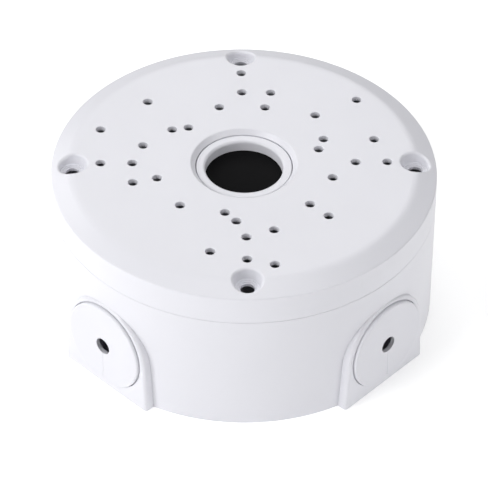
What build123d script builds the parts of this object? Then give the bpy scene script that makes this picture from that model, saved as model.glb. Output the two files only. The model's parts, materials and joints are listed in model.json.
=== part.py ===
from build123d import *
import math
import os

os.makedirs("parts", exist_ok=True)

# Round junction box for a ceiling or wall camera, in millimetres.
# Origin: centre of the back face, which lies on the wall or the table. +Z runs out of the wall, towards the camera plate.
# The four lid screws lie on +X, +Y, -X and -Y; the four cable entries lie half way between them.

# ---------------------------------------------------------------- driving dimensions
# housing
R_FOOT = 73.92           # outer radius at the back face
R_RIM = 73.25            # outer radius at the rim: the wall tapers a little
Z_RIM = 50.5             # rim face that the lid sits on
WALL = 2.8
FLOOR = 2.8
RIM_INNER = 66.8         # inner radius of the thickened rim
GROOVE_IN, GROOVE_OUT, GROOVE_FLOOR = 69.4, 71.2, 48.0
# lid
Z_TOP = 64.74            # flat camera face
R_FLAT = 65.4            # where the flat face turns down into the bevel
R_BROW, Z_BROW = 73.0, 61.97   # outer corner of the bevel, before it is rounded
R_SKIRT = 73.25          # skirt radius at its lower edge
Z_SKIRT = 50.58          # lower edge of the skirt: a hairline above the rim
PLATE = 2.0
R_LID_IN = 70.2
TONGUE_IN, TONGUE_OUT, TONGUE_Z = 69.6, 71.0, 49.45
# lid screws: a boss under the plate with a tapered counterbore, a rounded mouth, a floor in fine steps and the bore
R_SCREWS = 64.84
SCREW_BORE = 2.7
SEAT_MOUTH_R, SEAT_MOUTH_ROUND = 5.6, 1.0
SEAT_FLOOR_R, SEAT_FLOOR_DEPTH = 4.5, 4.1
SEAT_STEP = 0.6, 0.08, 0.25    # each step: how far in, its slope, its drop
BORE_LENGTH = 1.2
LID_BOSS = 7.2
BASE_POST = 5.7
INSERT_R, INSERT_BORE, INSERT_LEN = 3.3, 2.1, 9.0
TIP_R = 3.0              # room for the screw's tip below the insert
# cable entries: the pad's flat face leans back a degree, with the mould's draft
PAD_LEAN = 1.03          # degrees
PAD_FACE = 74.6          # flat of the pad from the centre line, at the back face
PAD_R = 20.45            # arch radius
PAD_CENTRE_Z = 19.65     # height of the arch's centre
PAD_FOOT = 21.7          # half width at the back face
PAD_EDGE = 1.3           # rounding of the pad's edge
ENTRY_Z = 20.25          # height of the entry's centre
ENTRY_R = 15.0
SEAT_R, SEAT_DEPTH = 18.35, 1.6
FLANGE_R, FLANGE_PROUD, FLANGE_EDGE = 18.05, 1.3, 0.75
NECK_R, NECK_LEN = 14.92, 7.0
PLUG_HOLLOW_R, PLUG_SKIN = 12.8, 1.6
PILOT_R = 3.4
# cable outlet in the lid: sloping mouth, recess, web under it, clamping ring and membrane
OUTLET_MOUTH_R = 20.15
OUTLET_SEAT_R, OUTLET_SEAT_Z = 18.45, 63.0
OUTLET_WEB_TOP, OUTLET_WEB_BOTTOM = 57.1, 55.3
OUTLET_WEB_R = 15.4
OUTLET_BOSS_R = 22.5
RING_TOP, RING_BOTTOM, RING_R, RING_BORE = 62.8, 58.25, 18.15, 14.7
MEMBRANE_R, MEMBRANE_TOP = 18.2, 58.2
# camera screw holes: circle radius, first angle, how many
CAMERA_HOLE_R = 1.85
CAMERA_HOLES = [
    (42.2, 0, 4),
    (54.2, 0, 4),
    (29.5, 15, 3),
    (51.7, 15, 3),
    (39.6, 45, 3),
    (43.4, 75, 3),
    (34.0, 75, 3),
    (34.3, 105, 3),
    (33.5, 24, 3),
    (58.0, 40, 3),
]
# back face: wall screws and rear cable hole
R_WALL_SCREWS = 50.0
WALL_HOLE_R = 2.6
REAR_HOLE_R = 15.0
REAR_COLLAR_TOP = 5.0

SCREW_SPOTS = [(R_SCREWS, 0), (0, R_SCREWS), (-R_SCREWS, 0), (0, -R_SCREWS)]

# ---------------------------------------------------------------- one cable entry, drawn on the +X side
_lean = math.radians(PAD_LEAN)
OUTWARD = (math.cos(_lean), 0, math.sin(_lean))
PAD_PLANE = Plane(origin=(PAD_FACE, 0, 0), x_dir=(0, 1, 0), z_dir=OUTWARD)
ENTRY_CENTRE = (PAD_FACE - ENTRY_Z * math.tan(_lean), 0, ENTRY_Z)
ENTRY_PLANE = Plane(origin=ENTRY_CENTRE, x_dir=(0, 1, 0), z_dir=OUTWARD)

# An arched boss with a flat face; its sides spread a little towards the back face.
_reach = math.hypot(PAD_FOOT, PAD_CENTRE_Z)
_touch = math.acos(PAD_R / _reach) - math.atan2(PAD_CENTRE_Z, PAD_FOOT)
TOUCH_Y = PAD_R * math.cos(_touch)
TOUCH_Z = PAD_CENTRE_Z + PAD_R * math.sin(_touch)
SPREAD = (PAD_FOOT - TOUCH_Y) / TOUCH_Z
with BuildPart() as pad_blank:
    with BuildSketch(PAD_PLANE):
        with BuildLine():
            Line((-PAD_FOOT - SPREAD, -1), (PAD_FOOT + SPREAD, -1))
            Line((PAD_FOOT + SPREAD, -1), (TOUCH_Y, TOUCH_Z))
            ThreePointArc((TOUCH_Y, TOUCH_Z), (0, PAD_CENTRE_Z + PAD_R), (-TOUCH_Y, TOUCH_Z))
            Line((-TOUCH_Y, TOUCH_Z), (-PAD_FOOT - SPREAD, -1))
        make_face()
    extrude(amount=-11)
    split(bisect_by=Plane.XY, keep=Keep.TOP)
    fillet(
        pad_blank.faces().sort_by(Axis.X)[-1].edges().filter_by(lambda e: e.center().Z > 0.5),
        radius=PAD_EDGE,
    )

# room behind the pad, so that its wall stays even
with BuildPart() as pad_core:
    with BuildSketch(ENTRY_PLANE.offset(-3.1)):
        Circle(17.0)
    extrude(amount=-9)

# a shallow seat for the plug's flange and the hole behind it
with BuildPart() as entry_cut:
    with BuildSketch(ENTRY_PLANE.offset(-SEAT_DEPTH)):
        Circle(SEAT_R)
    extrude(amount=6)
    with BuildSketch(ENTRY_PLANE.offset(-SEAT_DEPTH)):
        Circle(ENTRY_R)
    extrude(amount=-12)

# ---------------------------------------------------------------- housing
with BuildPart() as base_housing:
    with BuildSketch(Plane.XZ):
        with BuildLine():
            Polyline((0, 0), (R_FOOT, 0), (R_RIM, Z_RIM), (0, Z_RIM), close=True)
        make_face()
    revolve(axis=Axis.Z)
    fillet(base_housing.edges().filter_by(GeomType.CIRCLE).sort_by(Axis.Z)[-1], radius=0.2)
    with PolarLocations(0, 4, start_angle=45):
        add(pad_blank.part)
    # the hollow, with the rim left thick for the seal groove
    with BuildSketch(Plane.XZ):
        with BuildLine():
            Polyline(
                (0, FLOOR),
                (R_FOOT - WALL, FLOOR),
                (R_RIM - WALL + 0.15, 40.0),
                (RIM_INNER, 43.6),
                (RIM_INNER, Z_RIM + 2),
                (0, Z_RIM + 2),
                close=True,
            )
        make_face()
    revolve(axis=Axis.Z, mode=Mode.SUBTRACT)
    with PolarLocations(0, 4, start_angle=45):
        add(pad_core.part, mode=Mode.SUBTRACT)
    # posts for the lid screws, each tied to the wall
    with BuildSketch(Plane.XY.offset(FLOOR - 0.5)):
        with Locations(*SCREW_SPOTS):
            Circle(BASE_POST)
        with PolarLocations(R_SCREWS + 3.6, 4):
            Rectangle(7.2, 9.0)
    extrude(amount=Z_RIM - FLOOR + 0.5)
    # cable entries
    with PolarLocations(0, 4, start_angle=45):
        add(entry_cut.part, mode=Mode.SUBTRACT)
    # seal groove
    with BuildSketch(Plane.XY.offset(GROOVE_FLOOR)):
        Circle(GROOVE_OUT)
        Circle(GROOVE_IN, mode=Mode.SUBTRACT)
    extrude(amount=6, mode=Mode.SUBTRACT)
    # blind holes for the brass inserts, with room for the screw's tip below
    with Locations(*[(x, y, Z_RIM) for x, y in SCREW_SPOTS]):
        Hole(radius=INSERT_R, depth=INSERT_LEN + 0.2)
    with Locations(*[(x, y, Z_RIM) for x, y in SCREW_SPOTS]):
        Hole(radius=TIP_R, depth=INSERT_LEN + 9)
    # collar round the rear cable hole, raised rings round the wall-screw holes
    with BuildSketch(Plane.XY.offset(FLOOR - 0.5)):
        Circle(REAR_HOLE_R + 3.0)
    extrude(amount=REAR_COLLAR_TOP - FLOOR + 0.5)
    with BuildSketch(Plane.XY.offset(FLOOR - 0.5)):
        with PolarLocations(R_WALL_SCREWS, 4, start_angle=45):
            Circle(6.0)
    extrude(amount=2.0)
    with BuildSketch(Plane.XY):
        Circle(REAR_HOLE_R)
        with PolarLocations(R_WALL_SCREWS, 4, start_angle=45):
            Circle(WALL_HOLE_R)
    extrude(amount=12, mode=Mode.SUBTRACT)
base_housing.part.label = "base_housing"

# ---------------------------------------------------------------- lid: flat camera plate, bevelled edge, skirt
# a screw seat's profile: the tapered counterbore, its stepped floor, then the clearance bore
_step_in, _step_slope, _step_drop = SEAT_STEP
SEAT_LINE = [(SEAT_MOUTH_R, Z_TOP), (SEAT_FLOOR_R, Z_TOP - SEAT_FLOOR_DEPTH)]
for _ in range(2):
    _r, _z = SEAT_LINE[-1]
    SEAT_LINE += [(_r - _step_in, _z - _step_slope), (_r - _step_in - 0.06, _z - _step_slope - _step_drop)]
_r, _z = SEAT_LINE[-1]
SEAT_LINE += [(SCREW_BORE + 0.12, _z - _step_slope), (SCREW_BORE, _z - _step_slope - 0.12)]
BORE_END = SEAT_LINE[-1][1] - BORE_LENGTH

# the hollow under the plate, less the bosses that carry the screw seats and the ring that carries the outlet
with BuildPart() as lid_hollow:
    with BuildSketch(Plane.XZ) as hollow_section:
        with BuildLine():
            Polyline(
                (0, TONGUE_Z - 1),
                (TONGUE_IN, TONGUE_Z - 1),
                (TONGUE_IN, 54.0),
                (R_LID_IN, 55.0),
                (R_LID_IN - 0.2, 60.0),
                (R_FLAT - 0.4, Z_TOP - PLATE),
                (0, Z_TOP - PLATE),
                close=True,
            )
        make_face()
        fillet(
            hollow_section.vertices().filter_by(lambda v: abs(v.X - R_LID_IN + 0.2) < 0.01),
            radius=1.5,
        )
    revolve(axis=Axis.Z)
    with BuildSketch(Plane.XY.offset(BORE_END)):
        with Locations(*SCREW_SPOTS):
            Circle(LID_BOSS)
    extrude(amount=Z_TOP - BORE_END, mode=Mode.SUBTRACT)
    with BuildSketch(Plane.XY.offset(OUTLET_WEB_BOTTOM)):
        Circle(OUTLET_BOSS_R)
    extrude(amount=Z_TOP - OUTLET_WEB_BOTTOM, mode=Mode.SUBTRACT)

with BuildPart() as lid:
    with BuildSketch(Plane.XZ) as lid_section:
        with BuildLine():
            Polyline(
                (0, Z_TOP),
                (R_FLAT, Z_TOP),
                (R_BROW, Z_BROW),
                (R_SKIRT, Z_SKIRT),
                (TONGUE_OUT, Z_SKIRT),
                (TONGUE_OUT, TONGUE_Z),
                (0, TONGUE_Z),
                close=True,
            )
        make_face()
        fillet(lid_section.vertices().filter_by(lambda v: abs(v.X - R_FLAT) < 0.01), radius=9.0)
        fillet(lid_section.vertices().filter_by(lambda v: abs(v.X - R_BROW) < 0.01), radius=0.7)
        fillet(lid_section.vertices().filter_by(lambda v: abs(v.X - R_SKIRT) < 0.01), radius=0.2)
    revolve(axis=Axis.Z)
    add(lid_hollow.part, mode=Mode.SUBTRACT)
    with BuildSketch(Plane.XZ) as outlet_section:
        with BuildLine():
            Polyline(
                (0, OUTLET_WEB_BOTTOM - 1),
                (OUTLET_WEB_R, OUTLET_WEB_BOTTOM - 1),
                (OUTLET_WEB_R, OUTLET_WEB_TOP),
                (OUTLET_SEAT_R, OUTLET_WEB_TOP),
                (OUTLET_SEAT_R, OUTLET_SEAT_Z),
                (OUTLET_MOUTH_R, Z_TOP),
                (OUTLET_MOUTH_R, Z_TOP + 2),
                (0, Z_TOP + 2),
                close=True,
            )
        make_face()
    revolve(axis=Axis.Z, mode=Mode.SUBTRACT)
    fillet(
        lid.edges()
        .filter_by(GeomType.CIRCLE)
        .filter_by(lambda e: abs(e.radius - OUTLET_MOUTH_R) < 0.01 and e.center().Z > Z_TOP - 0.1),
        radius=0.8,
    )
    # screw seats
    for x, y in SCREW_SPOTS:
        with BuildSketch(Plane(origin=(x, y, 0), x_dir=(1, 0, 0), z_dir=(0, -1, 0))):
            with BuildLine():
                Polyline(
                    (0, Z_TOP + 2),
                    (SEAT_MOUTH_R, Z_TOP + 2),
                    *SEAT_LINE,
                    (SCREW_BORE, BORE_END - 1),
                    (0, BORE_END - 1),
                    close=True,
                )
            make_face()
        revolve(axis=Axis((x, y, 0), (0, 0, 1)), mode=Mode.SUBTRACT)
    fillet(
        lid.edges().filter_by(
            lambda e: e.center().Z > Z_TOP - 2.5
            and min(math.hypot(e.center().X - x, e.center().Y - y) for x, y in SCREW_SPOTS) < 6.0
            and max(
                min(math.hypot(v.X - x, v.Y - y) for x, y in SCREW_SPOTS) for v in e.vertices()
            )
            < SEAT_MOUTH_R + 0.4
            and min(v.Z for v in e.vertices()) > Z_TOP - 2.5
            and e.length > 0.5
        ),
        radius=SEAT_MOUTH_ROUND,
    )
    # camera screw holes, with a trace of a chamfer at the rim
    with BuildSketch(Plane.XY.offset(Z_TOP + 1)):
        for radius, first, count in CAMERA_HOLES:
            with PolarLocations(radius, count, start_angle=first):
                Circle(CAMERA_HOLE_R)
    extrude(amount=-8, mode=Mode.SUBTRACT)
    chamfer(
        lid.edges()
        .filter_by(GeomType.CIRCLE)
        .filter_by(
            lambda e: abs(e.radius - CAMERA_HOLE_R) < 0.01 and e.center().Z > Z_TOP - 0.05
        ),
        length=0.15,
    )
lid.part.label = "lid"

# ---------------------------------------------------------------- seal between housing and lid
with BuildPart() as lid_gasket:
    with BuildSketch(Plane.XZ):
        with Locations(((GROOVE_IN + GROOVE_OUT) / 2, (GROOVE_FLOOR + TONGUE_Z - 0.05) / 2)):
            RectangleRounded(GROOVE_OUT - GROOVE_IN - 0.1, TONGUE_Z - 0.05 - GROOVE_FLOOR, 0.4)
    revolve(axis=Axis.Z)
lid_gasket.part.label = "lid_gasket"

# ---------------------------------------------------------------- ring and membrane in the lid's cable outlet
with BuildPart() as outlet_ring:
    with BuildSketch(Plane.XZ) as ring_section:
        with BuildLine():
            Polyline(
                (RING_BORE, RING_BOTTOM),
                (RING_BORE, RING_TOP),
                (RING_R, RING_TOP),
                (RING_R, RING_BOTTOM),
                close=True,
            )
        make_face()
        fillet(
            ring_section.vertices().filter_by(
                lambda v: abs(v.X - RING_BORE) < 0.01 and v.Y > 60
            ),
            radius=1.1,
        )
        fillet(
            ring_section.vertices().filter_by(lambda v: abs(v.X - RING_R) < 0.01 and v.Y > 60),
            radius=0.3,
        )
    revolve(axis=Axis.Z)
outlet_ring.part.label = "outlet_ring"

with BuildPart() as outlet_membrane:
    with BuildSketch(Plane.XY.offset(OUTLET_WEB_TOP + 0.02)):
        Circle(MEMBRANE_R)
    extrude(amount=MEMBRANE_TOP - OUTLET_WEB_TOP - 0.02)
outlet_membrane.part.label = "outlet_membrane"

# ---------------------------------------------------------------- one soft cable plug, drawn on the +X side
# A flange with a rounded edge, a hollow neck, a pilot hole for a thin cable and a fine score line below it.
AXIS_PLANE = Plane(origin=ENTRY_CENTRE, x_dir=OUTWARD, z_dir=(0, -1, 0))
with BuildPart() as plug_blank:
    with BuildSketch(AXIS_PLANE) as plug_section:
        with BuildLine():
            Polyline(
                (FLANGE_PROUD, 0),
                (FLANGE_PROUD, FLANGE_R),
                (-SEAT_DEPTH + 0.03, FLANGE_R),
                (-SEAT_DEPTH + 0.03, NECK_R),
                (-SEAT_DEPTH - NECK_LEN + 1.0, NECK_R),
                (-SEAT_DEPTH - NECK_LEN, NECK_R - 0.6),
                (-SEAT_DEPTH - NECK_LEN, PLUG_HOLLOW_R),
                (FLANGE_PROUD - PLUG_SKIN, PLUG_HOLLOW_R - 0.3),
                (FLANGE_PROUD - PLUG_SKIN, 0),
                close=True,
            )
        make_face()
        fillet(
            plug_section.vertices().filter_by(
                lambda v: abs(v.X - FLANGE_PROUD) < 0.01 and v.Y > 10
            ),
            radius=FLANGE_EDGE,
        )
    revolve(axis=Axis(ENTRY_CENTRE, OUTWARD))
    with BuildSketch(ENTRY_PLANE.offset(FLANGE_PROUD + 1)):
        Circle(PILOT_R)
    extrude(amount=-10, mode=Mode.SUBTRACT)
    # score line: a shallow V from the pilot hole down to the edge
    with BuildSketch(
        Plane(
            origin=tuple(c + FLANGE_PROUD * o for c, o in zip(ENTRY_CENTRE, OUTWARD)),
            x_dir=(0, 1, 0),
            z_dir=(math.sin(_lean), 0, -math.cos(_lean)),
        )
    ):
        with BuildLine():
            Polyline((-0.28, 0.03), (0.28, 0.03), (0, -0.16), close=True)
        make_face()
    extrude(amount=15.6, mode=Mode.SUBTRACT)

PLUG_NAMES = {
    45: "cable_plug_back_right",
    135: "cable_plug_back_left",
    225: "cable_plug_front_left",
    315: "cable_plug_front_right",
}
plugs = {}
for angle, name in PLUG_NAMES.items():
    with BuildPart() as plug:
        with PolarLocations(0, 1, start_angle=angle):
            add(plug_blank.part)
    plug.part.label = name
    plugs[name] = plug.part

# ---------------------------------------------------------------- brass threaded inserts in the posts
with BuildPart() as insert_blank:
    with BuildSketch(Plane.XY.offset(Z_RIM - 0.1)):
        Circle(INSERT_R)
    extrude(amount=-INSERT_LEN)
    # two waists between the knurled bands
    with BuildSketch(Plane.XZ):
        with Locations((INSERT_R, Z_RIM - 0.1 - 3.1), (INSERT_R, Z_RIM - 0.1 - 6.2)):
            Rectangle(0.6, 0.9)
    revolve(axis=Axis.Z, mode=Mode.SUBTRACT)
    with BuildSketch(Plane.XY.offset(Z_RIM)):
        Circle(INSERT_BORE)
    extrude(amount=-INSERT_LEN - 1, mode=Mode.SUBTRACT)
    chamfer(
        insert_blank.edges()
        .filter_by(GeomType.CIRCLE)
        .filter_by(lambda e: abs(e.radius - INSERT_BORE) < 0.01)
        .sort_by(Axis.Z)[-1],
        length=0.4,
    )

inserts = {}
for (x, y), name in zip(
    SCREW_SPOTS,
    ["lid_insert_right", "lid_insert_back", "lid_insert_left", "lid_insert_front"],
):
    with BuildPart() as insert:
        with Locations((x, y, 0)):
            add(insert_blank.part)
    insert.part.label = name
    inserts[name] = insert.part

# ---------------------------------------------------------------- write one file per piece
pieces = {
    "base_housing": base_housing.part,
    "lid": lid.part,
    "lid_gasket": lid_gasket.part,
    "outlet_ring": outlet_ring.part,
    "outlet_membrane": outlet_membrane.part,
    **plugs,
    **inserts,
}
for name, shape in pieces.items():
    export_step(shape, f"parts/{name}.step")
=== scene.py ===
import json
import math

import bpy
from mathutils import Matrix, Vector

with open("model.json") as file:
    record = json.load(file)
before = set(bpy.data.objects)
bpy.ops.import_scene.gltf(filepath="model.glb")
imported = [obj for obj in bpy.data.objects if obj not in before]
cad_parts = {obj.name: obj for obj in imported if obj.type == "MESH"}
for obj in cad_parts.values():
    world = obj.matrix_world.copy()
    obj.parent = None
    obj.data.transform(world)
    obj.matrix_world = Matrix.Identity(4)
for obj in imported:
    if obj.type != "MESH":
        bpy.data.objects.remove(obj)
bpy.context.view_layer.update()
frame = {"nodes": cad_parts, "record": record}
scene = bpy.context.scene
nodes = frame["nodes"]

# ---------------------------------------------------------------- camera
# The view of the photograph, fitted to the rim, the foot line, the seam and the screw holes.
ELEVATION = math.radians(41.741209)
DISTANCE = 1.049525              # from the point 30 mm above the back face
TURN = math.radians(1.70357)     # the object is turned this far about Z, as seen from the camera
PAN, TILT, ROLL = (math.radians(a) for a in (-0.02222781, -0.27606321, -0.83878749))
FOCAL_PX, FRAME_PX = 2717.205, 488.0


def turned(v, axis, angle):
    return Matrix.Rotation(angle, 3, axis) @ v


eye = Vector((0, -DISTANCE * math.cos(ELEVATION), DISTANCE * math.sin(ELEVATION) + 0.030))
forward = Vector((0, math.cos(ELEVATION), -math.sin(ELEVATION)))
right = Vector((1, 0, 0))
up = right.cross(forward)
forward, right = turned(forward, up, PAN), turned(right, up, PAN)
forward = turned(forward, right, TILT)
up = right.cross(forward)
right = turned(right, forward, ROLL)
up = right.cross(forward)
z_axis = Vector((0, 0, 1))
eye, right, up, forward = (turned(v, z_axis, -TURN) for v in (eye, right, up, forward))

camera_data = bpy.data.cameras.new("camera")
camera_data.sensor_width = 36.0
camera_data.lens = FOCAL_PX / FRAME_PX * 36.0
camera_data.clip_start, camera_data.clip_end = 0.05, 30.0
camera = bpy.data.objects.new("camera", camera_data)
scene.collection.objects.link(camera)
camera.matrix_world = Matrix(
    (
        (right.x, up.x, -forward.x, eye.x),
        (right.y, up.y, -forward.y, eye.y),
        (right.z, up.z, -forward.z, eye.z),
        (0, 0, 0, 1),
    )
)
scene.camera = camera

# ---------------------------------------------------------------- light and floor
scene.view_settings.view_transform = "Standard"
scene.view_settings.look = "None"
scene.cycles.max_bounces = 12
scene.cycles.diffuse_bounces = 6
scene.cycles.glossy_bounces = 4

# A pale surround that is brightest at the horizon, so that little light falls straight down into the holes.
world = bpy.data.worlds.new("studio")
scene.world = world
world.use_nodes = True
tree = world.node_tree
background = tree.nodes["Background"]
background.inputs["Strength"].default_value = 0.05
direction = tree.nodes.new("ShaderNodeTexCoord")
height = tree.nodes.new("ShaderNodeSeparateXYZ")
sky = tree.nodes.new("ShaderNodeValToRGB")
sky.color_ramp.elements[0].position, sky.color_ramp.elements[0].color = 0.10, (1.0, 1.0, 1.0, 1)
sky.color_ramp.elements[1].position, sky.color_ramp.elements[1].color = 0.60, (0.0, 0.0, 0.0, 1)
tree.links.new(direction.outputs["Generated"], height.inputs["Vector"])
tree.links.new(height.outputs["Z"], sky.inputs["Fac"])
tree.links.new(sky.outputs["Color"], background.inputs["Color"])


def softbox(name, place, target, size, watts, colour=(1, 1, 1)):
    data = bpy.data.lights.new(name, "AREA")
    data.shape, data.size, data.size_y = "RECTANGLE", size[0], size[1]
    data.energy, data.color = watts, colour
    light = bpy.data.objects.new(name, data)
    scene.collection.objects.link(light)
    light.location = place
    light.rotation_euler = (Vector(target) - Vector(place)).to_track_quat("-Z", "Y").to_euler()
    light.visible_camera = False
    return light


# Azimuth from +X, elevation and power of each softbox, fitted to the shading in the photograph.
for azimuth, elevation, watts in (
    (205, 14, 5.1),
    (210, 35, 8.3),
    (330, 15, 2.4),
    (325, 38, 4.1),
    (90, 40, 3.6),
    (90, 66, 1.2),
    (135, 30, 4.4),
    (0, 88, 3.7),
):
    a, e = math.radians(azimuth), math.radians(elevation)
    place = (1.3 * math.cos(a) * math.cos(e), 1.3 * math.sin(a) * math.cos(e), 1.3 * math.sin(e) + 0.04)
    softbox(f"softbox_{azimuth}_{elevation}", place, (0, 0, 0.04), (0.7, 0.7), watts)

floor_mesh = bpy.data.meshes.new("floor")
floor_mesh.from_pydata([(-6, -6, 0), (6, -6, 0), (6, 6, 0), (-6, 6, 0)], [], [(0, 1, 2, 3)])
floor = bpy.data.objects.new("floor", floor_mesh)
scene.collection.objects.link(floor)
floor.location.z = -0.0002

floor_material = bpy.data.materials.new("floor_white")
floor_material.use_nodes = True
tree = floor_material.node_tree
tree.nodes.clear()
out = tree.nodes.new("ShaderNodeOutputMaterial")
diffuse = tree.nodes.new("ShaderNodeBsdfDiffuse")
diffuse.inputs["Color"].default_value = (0.8, 0.8, 0.8, 1)
glow = tree.nodes.new("ShaderNodeEmission")
glow.inputs["Strength"].default_value = 0.42
add = tree.nodes.new("ShaderNodeAddShader")
mix = tree.nodes.new("ShaderNodeMixShader")
# no glow under the part: nothing lights the table there
geometry = tree.nodes.new("ShaderNodeNewGeometry")
flat = tree.nodes.new("ShaderNodeVectorMath")
flat.operation = "MULTIPLY"
flat.inputs[1].default_value = (1, 1, 0)
reach = tree.nodes.new("ShaderNodeVectorMath")
reach.operation = "LENGTH"
outside = tree.nodes.new("ShaderNodeMath")
outside.operation = "GREATER_THAN"
outside.inputs[1].default_value = 0.0733
tree.links.new(geometry.outputs["Position"], flat.inputs[0])
tree.links.new(flat.outputs["Vector"], reach.inputs[0])
tree.links.new(reach.outputs["Value"], outside.inputs[0])
tree.links.new(diffuse.outputs["BSDF"], add.inputs[0])
tree.links.new(glow.outputs["Emission"], add.inputs[1])
tree.links.new(outside.outputs["Value"], mix.inputs["Fac"])
tree.links.new(diffuse.outputs["BSDF"], mix.inputs[1])
tree.links.new(add.outputs["Shader"], mix.inputs[2])
tree.links.new(mix.outputs["Shader"], out.inputs["Surface"])
floor_mesh.materials.append(floor_material)


# ---------------------------------------------------------------- materials
def principled(name):
    material = bpy.data.materials.new(name)
    material.use_nodes = True
    tree = material.node_tree
    return material, tree, tree.nodes["Principled BSDF"]


def moulded(name, colour, rough, specular=0.5, grain=0.00002, grain_scale=1900.0, tone=0.012, shade=None):
    """A moulded piece: even colour with a faint drift, fine spark-eroded grain and a little unevenness of gloss."""
    material, tree, shader = principled(name)
    new, link = tree.nodes.new, tree.links.new
    place = new("ShaderNodeTexCoord")
    drift = new("ShaderNodeTexNoise")
    drift.inputs["Scale"].default_value = 14.0
    drift.inputs["Detail"].default_value = 3.0
    link(place.outputs["Object"], drift.inputs["Vector"])
    ramp = new("ShaderNodeValToRGB")
    dark = shade or tuple(c * (1 - tone) for c in colour)
    light = tuple(min(1.0, c * (1 + tone)) for c in colour)
    ramp.color_ramp.elements[0].position, ramp.color_ramp.elements[0].color = 0.35, (*dark, 1)
    ramp.color_ramp.elements[1].position, ramp.color_ramp.elements[1].color = 0.65, (*light, 1)
    link(drift.outputs["Fac"], ramp.inputs["Fac"])
    link(ramp.outputs["Color"], shader.inputs["Base Color"])
    gloss = new("ShaderNodeTexNoise")
    gloss.inputs["Scale"].default_value = 90.0
    gloss.inputs["Detail"].default_value = 4.0
    link(place.outputs["Object"], gloss.inputs["Vector"])
    gloss_range = new("ShaderNodeMapRange")
    gloss_range.inputs["From Min"].default_value = 0.3
    gloss_range.inputs["From Max"].default_value = 0.7
    gloss_range.inputs["To Min"].default_value = rough - 0.02
    gloss_range.inputs["To Max"].default_value = rough + 0.03
    link(gloss.outputs["Fac"], gloss_range.inputs["Value"])
    link(gloss_range.outputs["Result"], shader.inputs["Roughness"])
    fine = new("ShaderNodeTexNoise")
    fine.inputs["Scale"].default_value = grain_scale
    fine.inputs["Detail"].default_value = 2.0
    link(place.outputs["Object"], fine.inputs["Vector"])
    bump = new("ShaderNodeBump")
    bump.inputs["Strength"].default_value = 0.5
    bump.inputs["Distance"].default_value = grain
    link(fine.outputs["Fac"], bump.inputs["Height"])
    link(bump.outputs["Normal"], shader.inputs["Normal"])
    shader.inputs["Specular IOR Level"].default_value = specular
    return material


def brass(name):
    """Brass: mottled colour and gloss, with fine turned bands as bumps on the surface."""
    material, tree, shader = principled(name)
    new, link = tree.nodes.new, tree.links.new
    shader.inputs["Metallic"].default_value = 1.0
    place = new("ShaderNodeTexCoord")
    noise = new("ShaderNodeTexNoise")
    noise.inputs["Scale"].default_value = 400.0
    link(place.outputs["Object"], noise.inputs["Vector"])
    ramp = new("ShaderNodeValToRGB")
    ramp.color_ramp.elements[0].color = (0.60, 0.42, 0.17, 1)
    ramp.color_ramp.elements[1].color = (0.78, 0.58, 0.28, 1)
    link(noise.outputs["Fac"], ramp.inputs["Fac"])
    link(ramp.outputs["Color"], shader.inputs["Base Color"])
    rough = new("ShaderNodeMapRange")
    rough.inputs["To Min"].default_value = 0.25
    rough.inputs["To Max"].default_value = 0.42
    link(noise.outputs["Fac"], rough.inputs["Value"])
    link(rough.outputs["Result"], shader.inputs["Roughness"])
    turned_marks = new("ShaderNodeTexWave")
    turned_marks.bands_direction = "Z"
    turned_marks.inputs["Scale"].default_value = 900.0
    turned_marks.inputs["Distortion"].default_value = 0.4
    link(place.outputs["Object"], turned_marks.inputs["Vector"])
    bump = new("ShaderNodeBump")
    bump.inputs["Strength"].default_value = 0.4
    bump.inputs["Distance"].default_value = 0.00005
    link(turned_marks.outputs["Fac"], bump.inputs["Height"])
    link(bump.outputs["Normal"], shader.inputs["Normal"])
    return material


WHITE = (0.72, 0.72, 0.765)
materials = {
    "housing_plastic": moulded("housing_plastic", WHITE, 0.35),
    "lid_plastic": moulded("lid_plastic", WHITE, 0.35),
    "ring_plastic": moulded("ring_plastic", WHITE, 0.33),
    "plug_rubber": moulded("plug_rubber", (0.71, 0.71, 0.755), 0.45, specular=0.4, grain=0.00003),
    # The outlet membrane is a real rubber sheet, but its near-black colour and faint sheen are painted shade that
    # stands in for the dark inside of the box seen through the outlet.
    "membrane_rubber": moulded("membrane_rubber", (0.004, 0.004, 0.0045), 0.70, specular=0.06, tone=0.08),
    "gasket_rubber": moulded("gasket_rubber", (0.02, 0.02, 0.021), 0.65, specular=0.4, tone=0.08),
    "brass": brass("brass"),
}
for part in frame["record"]["subparts"]:
    piece = nodes[part["node"]]
    piece.data.materials.clear()
    piece.data.materials.append(materials[part["material_slot"]])
